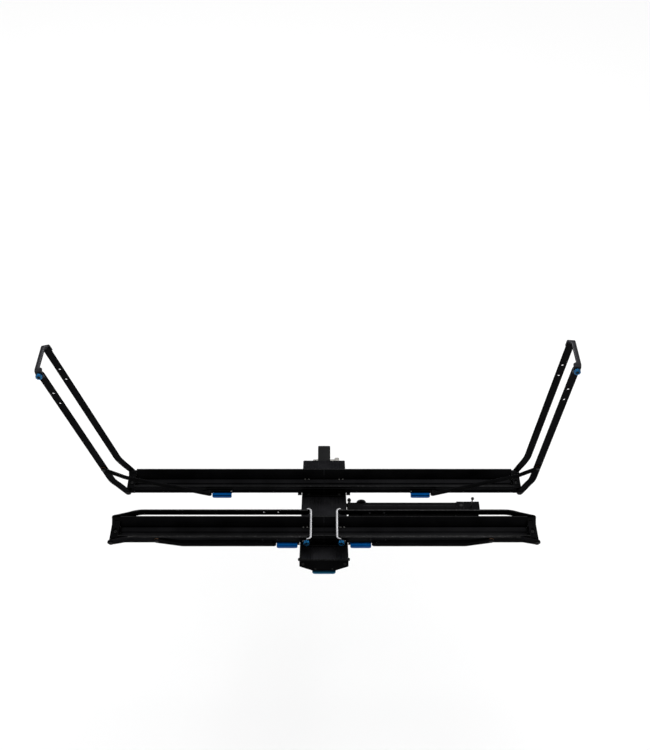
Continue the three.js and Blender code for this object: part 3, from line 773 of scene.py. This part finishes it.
def tray_section(tray):
    """The extrusion's outline: a sloping far wall, two grooves in the floor and an upright near wall
    with a slot outside for the slider."""
    w = TRAY_HALF
    floor = TRAY_FLOOR
    far_side = [
        (w, TRAY_BOTTOM), (w, 1), (w - 1, 2), (w - 1, 4), (w, 5), (w, 14), (w - 1.5, 16), (w - 1.5, 18),
        (w, 19), (w, TRAY_TOP),
    ]
    inside = [
        (w - 4, TRAY_TOP), (w - 6, 19), (17.6, -4), (17.4, floor - 2.5), (14.6, floor - 2.5),
        (14.4, -6.6), (11.5, floor + 1), (-1.2, floor), (-1.4, floor - 3.5), (-4.6, floor - 3.5),
        (-4.8, floor), (-w + 8, floor), (-w + 6, floor + 2), (-w + 6, TRAY_TOP),
    ]
    near_side = [
        (-w, TRAY_TOP), (-w, 15), (-w + 2, 14), (-w + 2, 11), (-w, 10), (-w, 1), (-w + 3.5, 1),
        (-w + 3.5, -7), (-w, -7),
    ]
    points = [(-w, TRAY_BOTTOM), *far_side, *inside, *near_side]
    radii = [1.6 if min(abs(z - TRAY_BOTTOM), abs(z - TRAY_TOP)) < 0.1 else 0.45 for _, z in points]
    return [(y + tray.y, z + tray.z) for y, z in rounded(points, radii, 3)]


def build_channel(name, word, side):
    tray = TRAYS[name]
    low, high = sorted((side * TRAY_SEAM, side * TRAY_END))
    channel = add_piece(
        f"{name}_channel_{word}", [prism(tray_section(tray), low, high, "yzx")], "extrusion_x", "rack",
        [f"{name}_tray_{word}"])
    # The rims' top faces take the lighter edge finish: a painted highlight along them, with rubbed wear.
    rim = tray.z + TRAY_TOP - 0.3
    paint_highlight_and_wear(channel, lambda centre, normal: centre.z > rim and normal.z > 0.7)


def build_end_block(name, word, side):
    """The block that closes a tray's end and holds the arm's pivot."""
    tray = TRAYS[name]
    high = tray.z + CAP_TOP
    near_y = tray.y - TRAY_HALF
    far_y = tray.y + TRAY_HALF
    plan = rounded([
        (side * CAP_START, near_y), (side * CAP_NEAR_X, near_y),
        (side * CAP_FAR_X, far_y), (side * CAP_START, far_y),
    ], [0.5, 3.0, 3.0, 0.5], 4)
    body = prism(plan, tray.z + TRAY_BOTTOM, high, "xyz")
    pivot = (side * PIVOT_X, 0, tray.z)
    lugs = plain_rod("y", 7.5, tray.y - 47.7, tray.y + 47.7, pivot, 40)
    bore = plain_rod("y", AXLE_BORE, tray.y - 60, tray.y + 60, pivot, 32)
    middle = side * CAP_MIDDLE
    pocket_y = tray.y - 17
    pocket_depth = 4
    oval = [
        (middle + 8 * math.cos(turn), pocket_y + 14.5 * math.sin(turn))
        for turn in (math.tau * k / 32 for k in range(32))
    ]
    pocket = prism(oval, high - pocket_depth, high + PAST, "xyz")
    well = block((middle - 8, middle + 8), (tray.y + 8, tray.y + 30), (high - 2.2, high + PAST), 4.0)
    add_piece(
        f"{name}_end_block_{word}", [body], "casting_painted_shade", "rack", [f"{name}_end_cap_{word}"],
        bevel=0.7, joins=[lugs], cuts=[bore, pocket, well])
    head = bolt("z", 1, 5.6, 3.4, (middle, pocket_y, high - pocket_depth))
    add_piece(f"{name}_end_block_{word}_bolt", [head], "screw", "rack")


def build_clamp_bolts(name):
    """Bolts near the seam, over the groove at the foot of the far wall."""
    tray = TRAYS[name]
    clamps = [
        bolt("z", 1, 3.0, 3.6, (x, tray.y + 14.5, tray.z - 9.0)) for x in (-70, -57, 57, 70)
    ]
    add_piece(f"{name}_clamp_bolts", clamps, "worn_steel", "rack")


def build_saddle(name):
    """The wedge between tray and spine, with bolts into the spine's top and up into the tray."""
    tray = TRAYS[name]
    refine_node(f"{name}_saddle", "extrusion_x", "rack", 0.9)
    fall = math.tan(SLOPE)
    top = SPINE.translation / MM
    drop = tray.z - top.z - fall * (top.y - tray.y)
    flange = 6.3
    foot_y = -TRAY_HALF - 12
    seat = tray.z - drop - fall * foot_y + flange
    fasteners = []
    for side in (-1, 1):
        fasteners.append(bolt("z", 1, 5.2, 3.2, (side * 56, tray.y + foot_y, seat - 0.4)))
        for y in (-20, 28):
            ear = (side * 88.0, tray.y + y, tray.z + TRAY_BOTTOM - flange)
            fasteners.append(bolt("z", -1, 4.4, 2.8, ear))
    add_piece(f"{name}_saddle_bolts", fasteners, "screw", "rack")


def build_tray(name):
    for word, side in (("left", -1), ("right", 1)):
        build_channel(name, word, side)
        build_end_block(name, word, side)
    build_clamp_bolts(name)
    build_saddle(name)


# ---- wheel arms ----

# W names a distance across an arm from its middle, U a distance along it from its pivot.
BAR_W = 55.5
BAR_HALF = 12.7
BAR_THICKNESS = 6.0
FOOT_W = 51.0
FOOT_RADIUS = 11.5
ARM_LENGTH = 672.5
ADJUST_BACK = (149, 99)
ADJUST_BORE = 5.0
KNOB_BORE = 4.3
HOLE_HALF = 70.0
HOOP_HALF = 64.7
KNOB_FACE = -HOOP_HALF - 0.3
STUD_RADIUS = 4.0
BRACE_PIN = (160.0, 25.0)
BRACE_W = -60.8
BRACE_HALF = 9.0
BRACE_THICKNESS = 5.0


def smooth(value, low, high):
    """A soft step from 0 at low to 1 at high."""
    t = min(max((value - low) / (high - low), 0.0), 1.0)
    return t * t * (3 - 2 * t)


def arm_rise(u):
    """Height of the bar's middle above the line of its pivot."""
    elbow = 80.0
    spread = 15.0
    ramp = ARM_RISE / elbow
    if u < elbow - spread:
        return u * ramp
    if u > elbow + spread:
        return ARM_RISE
    t = (u - elbow + spread) / (2 * spread)
    return (elbow - spread) * ramp + ramp * 2 * spread * (t - t * t / 2)


def bar_ring(side, u, v, w, half, angle, thickness):
    """A rounded rectangular section of a flat bar that runs at an angle in the u-v plane."""
    edge = min(1.3, half * 0.5)
    points = rounded(rectangle((-half, half), (-thickness / 2, thickness / 2)), edge, 3)
    return [
        Vector((side * (u - math.sin(angle) * across), w + outward, v + math.cos(angle) * across))
        for across, outward in points
    ]


def round_end(radius, steps):
    """Distances back from a round end and half depths there."""
    result = []
    for k in range(steps + 1):
        turn = (k + 0.12) / (steps + 0.12) * math.pi / 2
        result.append((radius * math.cos(turn), radius * math.sin(turn)))
    return result


def arm_bar(side, across):
    """A flat bar with round ends, which moves outward between its foot and its straight part."""
    foot_end = 38
    straight_start = 106
    along = [(-back, half) for back, half in round_end(FOOT_RADIUS, 9)]
    middle = (30, foot_end, 46, 54, 60, *range(65, 98, 4), straight_start, 300, 480)
    along += [(u, BAR_HALF) for u in middle]
    straight = ARM_LENGTH - BAR_HALF
    along += [(straight + back, half) for back, half in reversed(round_end(BAR_HALF, 9))]
    rings = []
    for u, half in along:
        w = across * (FOOT_W + (BAR_W - FOOT_W) * smooth(u, foot_end, straight_start))
        angle = math.atan2(arm_rise(u + 1) - arm_rise(u - 1), 2)
        rings.append(bar_ring(side, u, arm_rise(u), w, half, angle, BAR_THICKNESS))
    return loft(rings)


def hoop_shell(side):
    """A flat bar bent into a U round the ends of the two bars."""
    leg_middle = 61.85
    crown_middle = 678.5
    corner = 11.0
    path = [(u, -leg_middle) for u in (650.5, 654.0, 658.0, 664.0)]
    for k in range(9):
        turn = math.pi / 2 * k / 8
        path.append((
            crown_middle - corner + corner * math.sin(turn),
            -leg_middle + corner - corner * math.cos(turn),
        ))
    path += [(crown_middle, w) for w in (-44.0, -42.0, -20.0)]
    path += [(u, -w) for u, w in reversed(path)]
    rings = []
    for index, (u, w) in enumerate(path):
        before = Vector(path[max(index - 1, 0)])
        after = Vector(path[min(index + 1, len(path) - 1)])
        along = (after - before).normalized()
        outward = Vector((along.y, -along.x))
        thickness = 5.7 + 1.3 * smooth(abs(outward.x), 0.3, 1.0)
        low = 12.0 + 10.6 * smooth(-abs(w), -47.5, -43.5) if u > 670 else 12.0
        high = 37.0 - 12.0 * smooth(-u, -668.0, -652.0)
        section = rounded(rectangle((-thickness / 2, thickness / 2), (low, high)), 1.5, 3)
        rings.append([
            Vector((side * (u + outward.x * a), w + outward.y * a, v)) for a, v in section
        ])
    return loft(rings)


def knob_grip(centre):
    """A lobed clamping knob with a recessed face."""
    profile = [
        (6.6, 0.0), (7.0, 0.5), (7.0, 2.0),
        (9.4, 2.2, "lobed"), (10.5, 3.1, "lobed"), (10.6, 5.0, "lobed"), (10.6, 10.0, "lobed"),
        (10.2, 11.4, "lobed"), (9.0, 12.0, "lobed"),
        (6.6, 12.0), (5.6, 11.2), (5.4, 9.4),
    ]
    profile = [(radius, KNOB_FACE - depth, *kind) for radius, depth, *kind in profile]
    return turned(profile, "y", centre, 96)


def brace_shell(side, reach, climb):
    """The brace's flat bar: low along the tray, then cranked up to its pin on the arm."""
    half = BRACE_HALF
    middle = BRACE_W - BRACE_THICKNESS / 2
    crank = math.atan2(climb, 75.0)
    rings = []
    for back, depth in round_end(half, 7):
        rings.append(bar_ring(-side, -back, 0.0, middle, depth, 0.0, BRACE_THICKNESS))
    for u, v, angle in ((60.0, 0.0, 0.0), (reach - 88, 0.0, 0.0), (reach - 82, 0.4, crank * 0.3),
                        (reach - 76, 1.6, crank * 0.7), (reach - 70, 3.2, crank)):
        rings.append(bar_ring(-side, u, v, middle, half, angle, BRACE_THICKNESS))
    for ahead, depth in reversed(round_end(half, 7)):
        u = reach + ahead * math.cos(crank)
        v = climb + ahead * math.sin(crank)
        rings.append(bar_ring(-side, u, v, middle, depth, crank, BRACE_THICKNESS))
    return loft(rings)


def through_hole(radius, centre, steps=24):
    """A hole across the whole arm."""
    return plain_rod("y", radius, -HOLE_HALF, HOLE_HALF, centre, steps)


def build_arm(tray_name, word, side):
    name = f"{tray_name}_{word}"
    tray = TRAYS[tray_name]
    place = arm_place(tray_name, word, side)
    arm_body = f"{name}_arm"
    knob_body = f"{name}_knob"
    axle_hole = through_hole(AXLE_BORE, (0, 0, 0), 28)
    knob_hole = through_hole(KNOB_BORE, (side * KNOB_U, 0, ARM_RISE))
    adjust = [through_hole(ADJUST_BORE, (side * (KNOB_U - back), 0, ARM_RISE)) for back in ADJUST_BACK]
    for which, across in (("near", -1), ("far", 1)):
        bar = add_piece(
            f"{name}_flat_bar_{which}", [arm_bar(side, across)], "arm", arm_body,
            [f"{name}_bar_{which}"], place, bevel=0.35, cuts=[axle_hole, knob_hole, *adjust])
        # The bars' upward faces take the lighter edge finish: a painted highlight, with rubbed wear.
        paint_highlight_and_wear(bar, lambda centre, normal: normal.z > 0.8 and centre.z > ARM_RISE + 5)
    hoop = add_piece(
        f"{name}_wheel_hoop", [hoop_shell(side)], "hoop", arm_body, [f"{name}_hoop"], place, bevel=0.35,
        cuts=[knob_hole])
    # The hoop's upward faces take the lighter edge finish: a painted highlight, with rubbed wear.
    paint_highlight_and_wear(hoop, lambda centre, normal: normal.z > 0.75)

    centre = (side * KNOB_U, 0, ARM_RISE)
    stud = rod("y", STUD_RADIUS, KNOB_FACE - 1.0, -BAR_W + 6, centre, 28)
    add_piece(
        f"{name}_clamp_knob", [knob_grip(centre)], "knob", knob_body, [f"{name}_knob"], place, bevel=0.25)
    screw_head = bolt("y", -1, 4.6, 1.9, (side * KNOB_U, KNOB_FACE - 9.4, ARM_RISE))
    add_piece(f"{name}_clamp_screw", [stud, screw_head], "screw", knob_body, (), place)

    foot = FOOT_W + 3.3
    axle = rod("y", AXLE_RADIUS, -foot - 0.2, foot + 0.2, (0, 0, 0), 32)
    heads = [bolt("y", sign, 8.0, 3.5, (0, sign * foot, 0)) for sign in (-1, 1)]
    add_piece(f"{name}_axle_bolt", [axle, *heads], "steel", arm_body, [f"{name}_axle"], place)

    pin = record_point(f"{name}_brace_swing")
    slider_place = Matrix.Translation(Vector((pin.x, tray.y, tray.z)) * MM)
    build_slider(name, side, slider_place, pin.z - tray.z)
    build_lever(name, side, slider_place)
    build_brace(name, side, place, Matrix.Translation(Vector((pin.x, tray.y, pin.z)) * MM))


# ---- sliders, levers and braces ----

SLIDER_START = -14.0
SLIDER_END = 83.0
SLIDER_THICKNESS = 6.8
SLIDER_WALL = -TRAY_HALF - 0.4
LEVER_HINGE = SLIDER_WALL - 7.2
LEVER_TOP = -2.0


def span(side, low, high):
    """Limits along x, mirrored on the side whose arm folds the other way."""
    return (low, high) if side > 0 else (-high, -low)


def build_slider(name, side, place, pin_level):
    """The plate that slides along the tray, its key in the slot and its pin for the brace."""
    wall = SLIDER_WALL
    outside = wall - SLIDER_THICKNESS
    plate = block(span(side, SLIDER_START, SLIDER_END), (outside, wall), (-9, 9), 3.0, "xzy")
    key = block(span(side, SLIDER_START + 2, SLIDER_END - 2), (wall - 1, wall + 3.4), (-6.6, 0.6))
    boss = plain_rod("y", 6.5, BRACE_W + 0.4, wall - 6, (0, 0, pin_level), 32)
    pin = plain_rod("y", 4.0, BRACE_W - 6.6, wall - 6, (0, 0, pin_level), 28)
    slot = block(span(side, 14, 76), (wall - 9, wall - 5.0), (1.5, 6.0), 2.0, "xzy")
    add_piece(
        f"{name}_slide_block", [plate], "extrusion_x", f"{name}_slide", [f"{name}_slider"], place,
        bevel=0.5, joins=[key, boss, pin], cuts=[slot])
    screws = [
        bolt("y", -1, 2.6, 1.4, (side * u, outside, level)) for u, level in ((-9, -4.6), (79.5, 4.6))
    ]
    add_piece(f"{name}_slide_screws", screws, "zinc", f"{name}_slide", (), place)


def build_lever(name, side, place):
    """The release lever: a hooked section, less deep at both ends, with notches across its face."""
    hinge = LEVER_HINGE
    section = rounded([
        (hinge, LEVER_TOP), (hinge, -8.5), (hinge - 4, -9.5), (hinge - 7, -12), (hinge - 8, -20),
        (hinge - 13, -20), (hinge - 13.6, -9), (hinge - 10, -4.5), (hinge - 4, LEVER_TOP),
    ], [0.6, 0.6, 3.0, 3.0, 1.6, 1.6, 3.0, 3.0, 2.0], 4)
    stations = (
        (10.0, 0.62), (10.8, 0.78), (12.4, 0.9), (15.0, 0.98), (18.0, 1.0),
        (73.0, 1.0), (76.0, 0.98), (78.6, 0.9), (80.2, 0.78), (81.0, 0.62),
    )
    rings = []
    for u, depth in stations:
        rings.append([Vector((side * u, w, LEVER_TOP + (v - LEVER_TOP) * depth)) for w, v in section])
    notches = [
        block(span(side, u, u + 1.4), (hinge - 15, hinge - 12.4), (-17.5, -10.5))
        for u in range(24, 67, 7)
    ]
    add_piece(
        f"{name}_release_lever", [loft(rings)], "blue", f"{name}_lever", [f"{name}_lever"], place,
        bevel=0.7, segments=3, cuts=notches)


def build_brace(name, side, arm, pin):
    """The brace runs from the slider's pin to the pin on the arm, as both stand at rest."""
    brace_body = f"{name}_brace"
    start = pin.translation / MM
    end = (arm @ Vector((side * BRACE_PIN[0] * MM, 0.0, BRACE_PIN[1] * MM))) / MM
    across = end - start
    climb = BRACE_PIN[1] + TRAYS["inner"].z - record_point("inner_left_brace_swing").z
    reach = math.sqrt(across.x ** 2 + across.z ** 2 - climb ** 2)
    lean = math.atan2(across.z, -side * across.x) - math.atan2(climb, reach)
    place = pin @ Matrix.Rotation(side * lean, 4, "Y")
    lower_hole = plain_rod("y", KNOB_BORE, -75, -50, (0, 0, 0), 24)
    add_piece(
        f"{name}_brace_bar", [brace_shell(side, reach, climb)], "brace", brace_body, [f"{name}_brace"],
        place, bevel=0.3, cuts=[lower_hole])
    washer = turned([
        (8.6, BRACE_W + 0.1), (9.0, BRACE_W + 0.3), (9.0, BRACE_W + 1.8), (8.6, BRACE_W + 2.0),
    ], "y", (-side * reach, 0, climb), 40)
    add_piece(f"{name}_brace_washer", [washer], "bronze", brace_body, (), place)
    tip = (-side * reach, BRACE_W - BRACE_THICKNESS, climb)
    head_height = 1.8
    head = turned([(6.3, 0.0), (6.5, -0.3), (6.5, -1.4), (6.1, -head_height)], "y", tip, 32)
    rivet = dome("y", -1, 4.4, 1.2, (tip[0], tip[1] - head_height, tip[2]))
    add_piece(f"{name}_brace_rivet", [head, rivet], "screw", brace_body, (), place)


# ---- lock bar ----


def build_lock_beam():
    low, high = (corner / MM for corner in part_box("lock_bar"))
    pivot = record_point("lock_bar_swing")
    section = rounded(rectangle((low.y, high.y), (low.z, high.z)), 2.2, 4)
    bar = prism(section, low.x, high.x, "yzx")
    hole = plain_rod("y", AXLE_BORE, low.y - PAST, high.y + PAST, (pivot.x, 0, pivot.z), 32)
    middle = (low.y + high.y) / 2
    groove = block(
        (low.x + 52, high.x - 8), (middle - 1.6, middle + 1.6), (high.z - 1.0, high.z + PAST))
    add_piece("lock_bar_beam", [bar], "brace", "lock_arm", ["lock_bar"], bevel=0.8, cuts=[hole, groove])
    return middle


def build_lock_block(rivet_y):
    low, high = (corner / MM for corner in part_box("lock_block"))
    screw = record_point("lock_screw_turn")
    outline = rounded(rectangle((low.x, high.x), (low.z, high.z)), 3.0, 4)
    body = prism(outline, low.y, high.y, "xzy")
    bore = plain_rod("z", 2.5, high.z - 16, high.z + 4, (screw.x, screw.y, 0), 28)
    middle = (low.x + high.x) / 2
    seam = block(
        (middle - 16, middle - 15), (low.y - PAST, high.y + PAST), (high.z - 1.2, high.z + PAST))
    add_piece(
        "lock_block_body", [body], "casting_painted_shade", "lock_arm", ["lock_block"], bevel=1.4, segments=3,
        cuts=[bore, seam])
    profile = [(5.6, 0.0), (5.8, 0.4), (5.8, 1.3), (5.4, 1.7)]
    collar = turned(profile, "z", (low.x + 16, rivet_y, high.z - 0.2), 32)
    add_piece("lock_block_rivet", [collar], "screw", "lock_arm")


def build_lock_screw():
    low, high = (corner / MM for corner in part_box("lock_screw"))
    screw = record_point("lock_screw_turn")
    stem = turned([(1.8, low.z), (2.2, low.z + 0.6), (2.2, high.z - 5.6)], "z", (screw.x, screw.y, 0), 32)
    head = turned([
        (3.0, high.z - 6.0), (4.7, high.z - 5.8), (5.0, high.z - 5.2, "knurled"),
        (5.0, high.z - 0.9, "knurled"), (4.6, high.z - 0.1), (2.2, high.z), (2.0, high.z - 1.0),
    ], "z", (screw.x, screw.y, 0), 72)
    add_piece("lock_thumb_screw", [stem], "zinc", "lock_screw", ["lock_screw"])
    add_piece("lock_thumb_screw_head", [head], "screw", "lock_screw")


def build_lock_pivot():
    low, high = (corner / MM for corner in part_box("lock_pivot"))
    pivot = record_point("lock_bar_swing")
    front = high.y
    cover = turned([
        (16.0, front - 7.7), (17.0, front - 7.0), (17.0, front - 2.4), (16.2, front - 0.8),
        (14.6, front), (8.0, front), (7.2, front - 1.2), (4.6, front - 1.2),
        (4.2, front - 0.2, "hex"), (4.0, front - 0.1, "hex"),
    ], "y", (pivot.x, 0, pivot.z + 9), 72)
    stud = rod("y", AXLE_RADIUS, low.y, front - 4, (pivot.x, 0, pivot.z), 32)
    spacer = plain_rod("y", 9.0, low.y, low.y + 5, (pivot.x, 0, pivot.z - 4), 36)
    add_piece("lock_pivot_cover", [cover, stud, spacer], "steel", "rack", ["lock_pivot"], bevel=0.3)


# ---- tongue and tilt pivot ----

TONGUE_WALL = 5.0
HITCH_PIN_Y = -62.0


def square(size, radius):
    """A rounded square outline of half width size."""
    return rounded(rectangle((-size, size), (-size, size)), radius, 5)


def build_tongue_tube():
    low, high = (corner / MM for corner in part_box("hitch_tongue"))
    half = high.x
    inside = half - TONGUE_WALL
    tube = prism(square(half, 5.0), low.y, high.y, "xzy")
    hollow = prism(square(inside, 2.5), low.y - PAST, high.y + PAST, "xzy")
    hole = plain_rod("x", 8.1, -half - PAST, half + PAST, (0, HITCH_PIN_Y, 0), 36)
    add_piece("tongue_tube", [tube], "steel", "tongue", ["hitch_tongue"], bevel=0.5, cuts=[hollow, hole])

    face = prism(square(half - 0.3, 5.0), -6.0, 0.0, "xzy")
    stub = prism(square(inside - 0.3, 2.5), -24.0, -5.0, "xzy")
    dish = prism(square(half - 9.0, 4.0), -1.6, PAST, "xzy")
    add_piece(
        "tongue_end_plug", [face], "plastic", "tongue", ["tongue_plug"], bevel=0.9, segments=3,
        joins=[stub], cuts=[dish])


def build_tilt_pivot():
    """The tongue's round head and the bolt through it, with a washer and a hexagon at each end."""
    refine_node("tongue_head", "steel", "tongue", 0.9)
    low, high = (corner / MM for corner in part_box("pivot_bolt"))
    pivot = record_point("rack_tilt")
    centre = (0, pivot.y, pivot.z)
    shank = rod("x", 8.0, low.x + 5, high.x - 5, centre, 36)
    yoke_side = 34.5
    washer = [(12.9, 0.0), (13.2, 0.4), (13.2, 1.6), (12.9, 2.0)]
    hexagon = [(10.6, 2.0, "hex"), (11.0, 2.6, "hex"), (11.0, 7.4, "hex"), (9.6, 8.4), (4.0, 8.5)]
    ends = []
    for sign in (-1, 1):
        for profile in (washer, hexagon):
            outward = [(radius, sign * (yoke_side + height), *kind) for radius, height, *kind in profile]
            ends.append(turned(outward, "x", centre, 48))
    add_piece("pivot_bolt_set", [shank, *ends], "zinc", "tongue", ["pivot_bolt"])


def build_hitch_pin():
    """The locking pin through the tongue: a grooved shaft, a knurled cap and a wire clip."""
    low, high = (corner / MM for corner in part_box("hitch_pin"))
    centre = (0, HITCH_PIN_Y, 0)
    tip = [(5.4, 0.0), (7.0, 2.0), (7.8, 4.0), (7.8, 9.0), (6.4, 9.6), (6.4, 12.4), (7.8, 13.0)]
    shaft = turned([*((radius, low.x + height) for radius, height in tip), (7.8, 44)], "x", centre, 40)
    cap = turned([
        (10.0, 43.2), (13.2, 44.0), (14.0, 45.4), (14.0, 48.0, "knurled"), (14.0, 58.0, "knurled"),
        (13.4, high.x - 1.2), (12.0, high.x), (5.0, high.x), (4.6, high.x - 2.0),
    ], "x", centre, 72)
    add_piece("locking_pin", [shaft, cap], "zinc", "tongue", ["hitch_pin"])
    clip_radius = 7.6
    clip = [
        Vector((low.x + 11, HITCH_PIN_Y + clip_radius * math.cos(turn), clip_radius * math.sin(turn)))
        for turn in (math.radians(70 + 12 * k) for k in range(24))
    ]
    add_piece("locking_pin_clip", [tube_along(clip, 1.2)], "screw", "tongue")


def build_yoke():
    refine_node("pivot_yoke", "steel", "rack", 0.8)
    refine_node("latch_bolt", "zinc", "latch", 0.6)
    fasteners = []
    for side in (-1, 1):
        for y in (84, 128, 172):
            fasteners.append(bolt("z", 1, 5.0, 3.0, (side * 14.0, y, -SPINE_DEPTH + SPINE_WALL)))
        for y in (76, 182):
            fasteners.append(bolt("x", side, 5.6, 3.4, (side * 34.0, y, -SPINE_DEPTH - 12.0)))
    add_piece("yoke_bolts", fasteners, "zinc", "rack", (), SPINE)


# ---- assembly ----

add_camera()
add_studio()
add_floor()
build_spine_beam()
build_rear_plate()
build_handle_pin()
build_handle()
build_side_plunger()
build_tray("inner")
build_tray("outer")
for tray_name in ("inner", "outer"):
    for arm_word, arm_side in (("left", 1), ("right", -1)):
        build_arm(tray_name, arm_word, arm_side)
lock_middle = build_lock_beam()
build_lock_block(lock_middle)
build_lock_screw()
build_lock_pivot()
build_tongue_tube()
build_tilt_pivot()
build_hitch_pin()
build_yoke()

bpy.context.view_layer.update()
